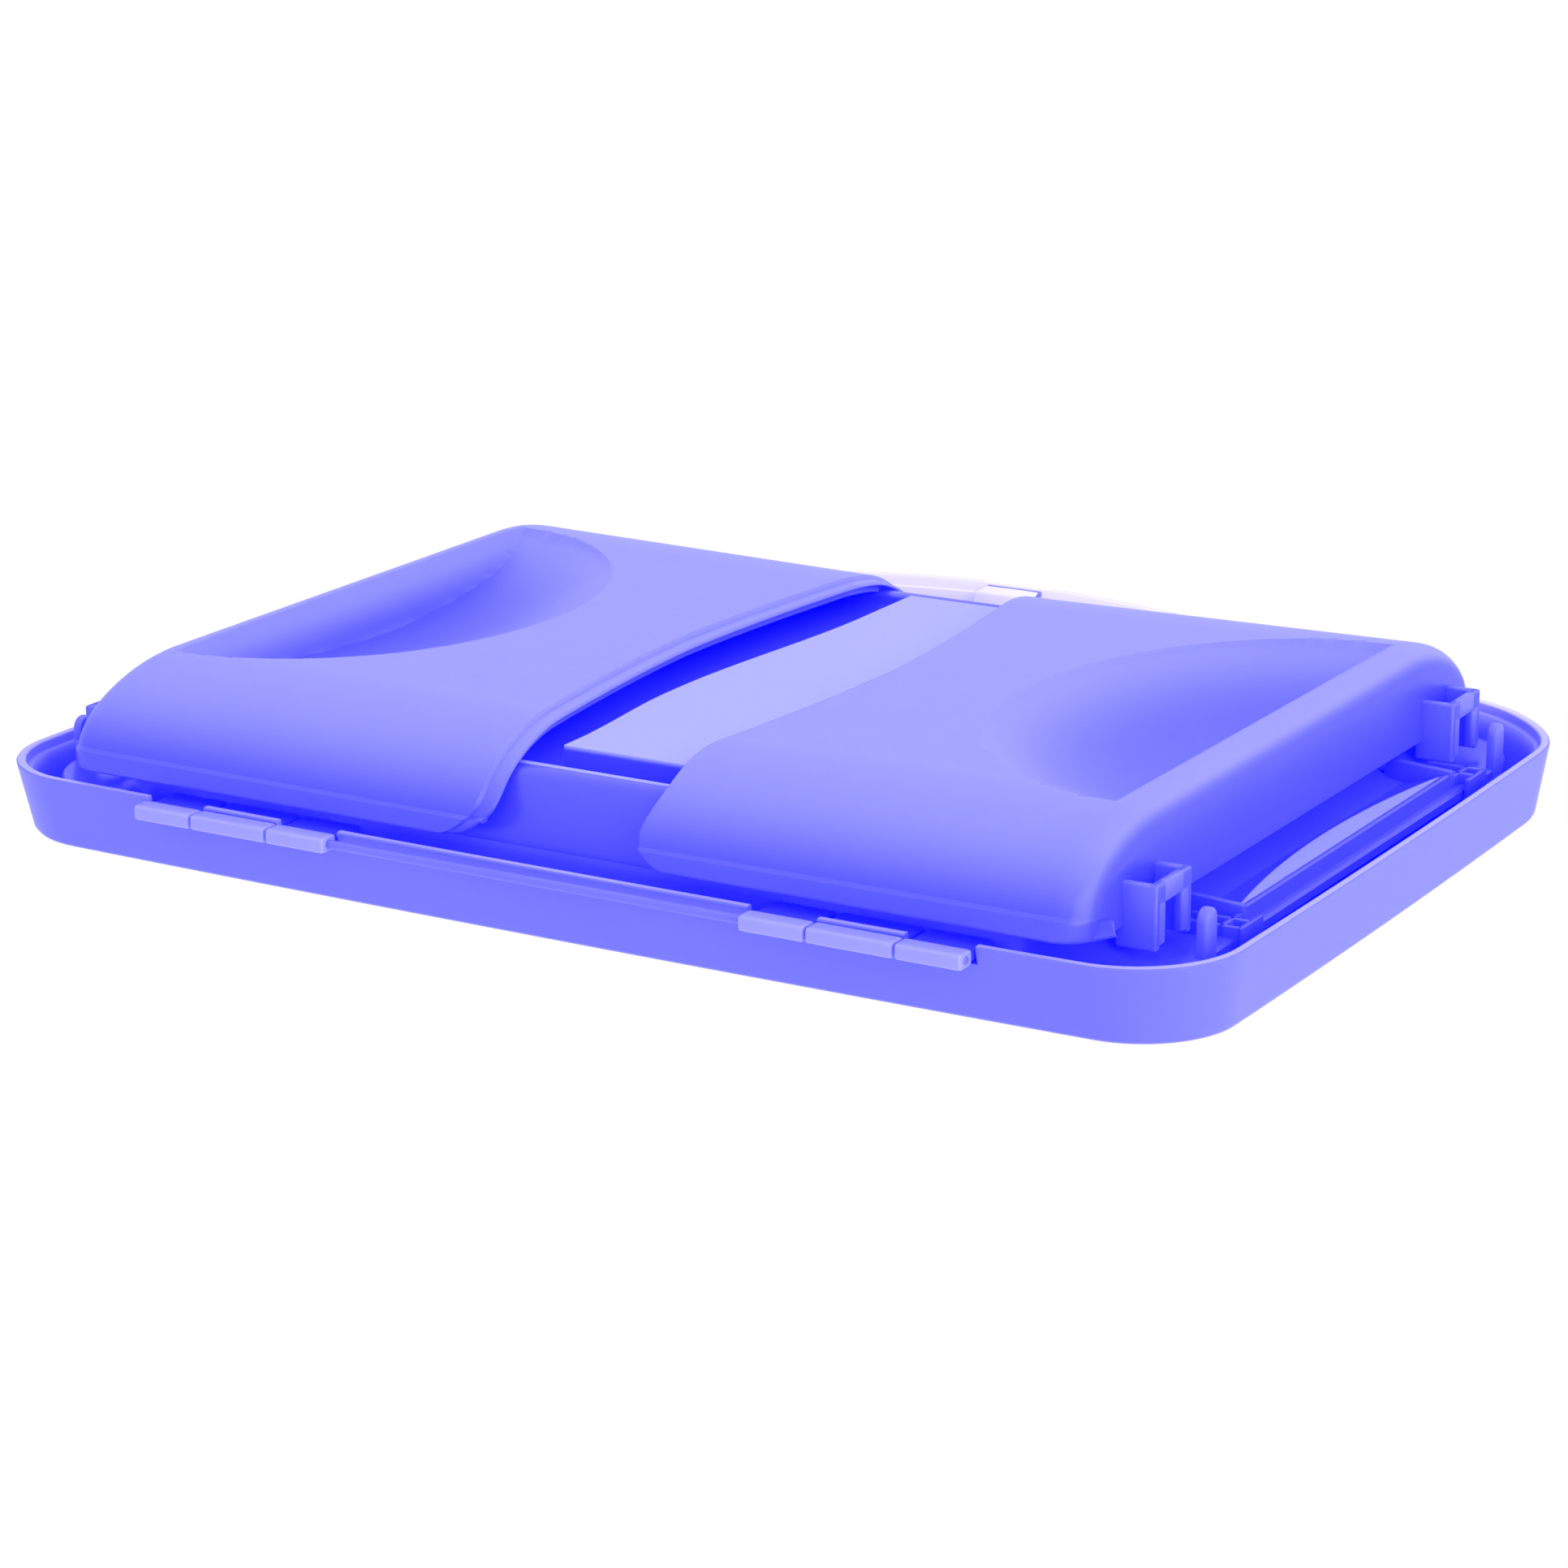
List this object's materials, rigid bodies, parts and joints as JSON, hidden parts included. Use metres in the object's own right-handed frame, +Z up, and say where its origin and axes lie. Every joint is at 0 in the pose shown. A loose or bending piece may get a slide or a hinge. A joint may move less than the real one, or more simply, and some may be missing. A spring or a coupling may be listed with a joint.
{
  "type": "pill splitter",
  "caption": "Pocket pill splitter: a hinged lid holds a blade over centring jaws that two sprung finger grips spread from below.",
  "frame": {"origin": "centre of the bounding box in X and Y, on the plane the two grip faces stand on", "axes": "+X along the length to the right grip, -Y towards the latch and thumb lip, +Y towards the hinge, +Z up to the lid panel"},
  "size_m": [0.1108, 0.0818, 0.0147],
  "materials": {
    "frosted_blue": "translucent frosted blue violet",
    "inner_blue": "frosted",
    "pale_nylon": "pale blue satin",
    "steel": "bright"
  },
  "bodies": {
    "base": {"base_pan": "frosted_blue", "deck_plate": "inner_blue", "cutting_anvil": "pale_nylon", "latch_catch": "inner_blue", "hinge_rod": "pale_nylon", "pinion_pin": "steel", "deck_screw_left_front": "steel", "deck_screw_left_rear": "steel", "deck_screw_right_front": "steel", "deck_screw_right_rear": "steel", "left_guide_front": "pale_nylon", "left_guide_rear": "pale_nylon", "right_guide_front": "pale_nylon", "right_guide_rear": "pale_nylon", "left_spring_front": "steel", "left_spring_rear": "steel", "right_spring_front": "steel", "right_spring_rear": "steel"},
    "lid": {"lid_shell": "frosted_blue", "blade_holder": "inner_blue", "blade_clamp": "inner_blue", "blade": "steel", "blade_screw_front": "steel", "blade_screw_rear": "steel"},
    "left_half": {"left_grip": "frosted_blue", "left_carrier": "inner_blue", "left_jaw": "pale_nylon", "left_carrier_screw_front": "steel", "left_carrier_screw_rear": "steel"},
    "right_half": {"right_grip": "frosted_blue", "right_carrier": "inner_blue", "right_jaw": "pale_nylon", "right_carrier_screw_front": "steel", "right_carrier_screw_rear": "steel"},
    "pinion_gear": {"pinion": "pale_nylon"}
  },
  "joints": [
    {"name": "lid_hinge", "type": "hinge", "parent": "base", "child": "lid", "pos_m": [0, 0.03961, 0.0092], "axis": [-1, 0, 0], "range_deg": [0, 125]},
    {"name": "right_slide", "type": "slide", "parent": "base", "child": "right_half", "axis": [1, 0, 0], "range_m": [0, 0.0038], "stiffness_N_per_m": 400, "springref_m": -0.004, "deforming": ["right_spring_front", "right_spring_rear"]},
    {"name": "left_slide", "type": "slide", "parent": "base", "child": "left_half", "axis": [-1, 0, 0], "range_m": [0, 0.0038], "stiffness_N_per_m": 400, "springref_m": -0.004, "deforming": ["left_spring_front", "left_spring_rear"]},
    {"name": "pinion_spin", "type": "hinge", "parent": "base", "child": "pinion_gear", "pos_m": [0, 0.00071, 0.0065], "axis": [0, 0, 1], "range_deg": [-85, 5]}
  ],
  "couplings": [
    {"joint": "left_slide", "follows": "right_slide", "ratio": 1},
    {"joint": "pinion_spin", "follows": "right_slide", "rad_per_m": -384.62}
  ]
}
